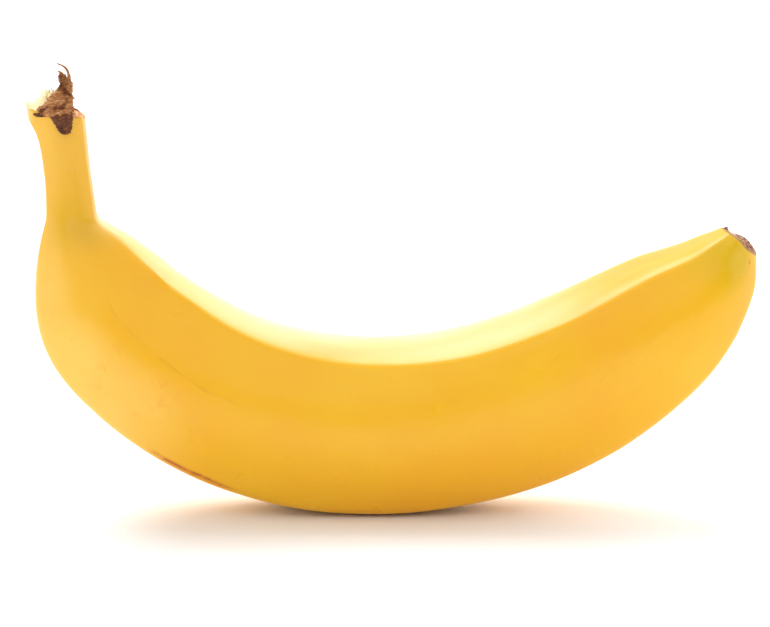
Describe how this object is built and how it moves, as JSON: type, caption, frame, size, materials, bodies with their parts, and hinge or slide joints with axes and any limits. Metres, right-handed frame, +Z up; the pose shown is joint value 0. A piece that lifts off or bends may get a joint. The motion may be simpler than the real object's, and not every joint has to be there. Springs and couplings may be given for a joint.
{
  "type": "banana",
  "caption": "Whole ripe yellow banana with a torn stem and a dry blossom scar, lying on its curved back with both ends up.",
  "frame": {"origin": "on the surface that the fruit lies on, under the middle of its length and width", "axes": "+X from the stem towards the blossom end, +Y square to the plane of the bend, +Z up from the surface"},
  "size_m": [0.1638, 0.0372, 0.0996],
  "materials": {
    "skin": "smooth waxy yellow peel, satin, a little green at the blossom end and brown where it is torn"
  },
  "bodies": {
    "root": {"banana": "skin"}
  },
  "joints": []
}
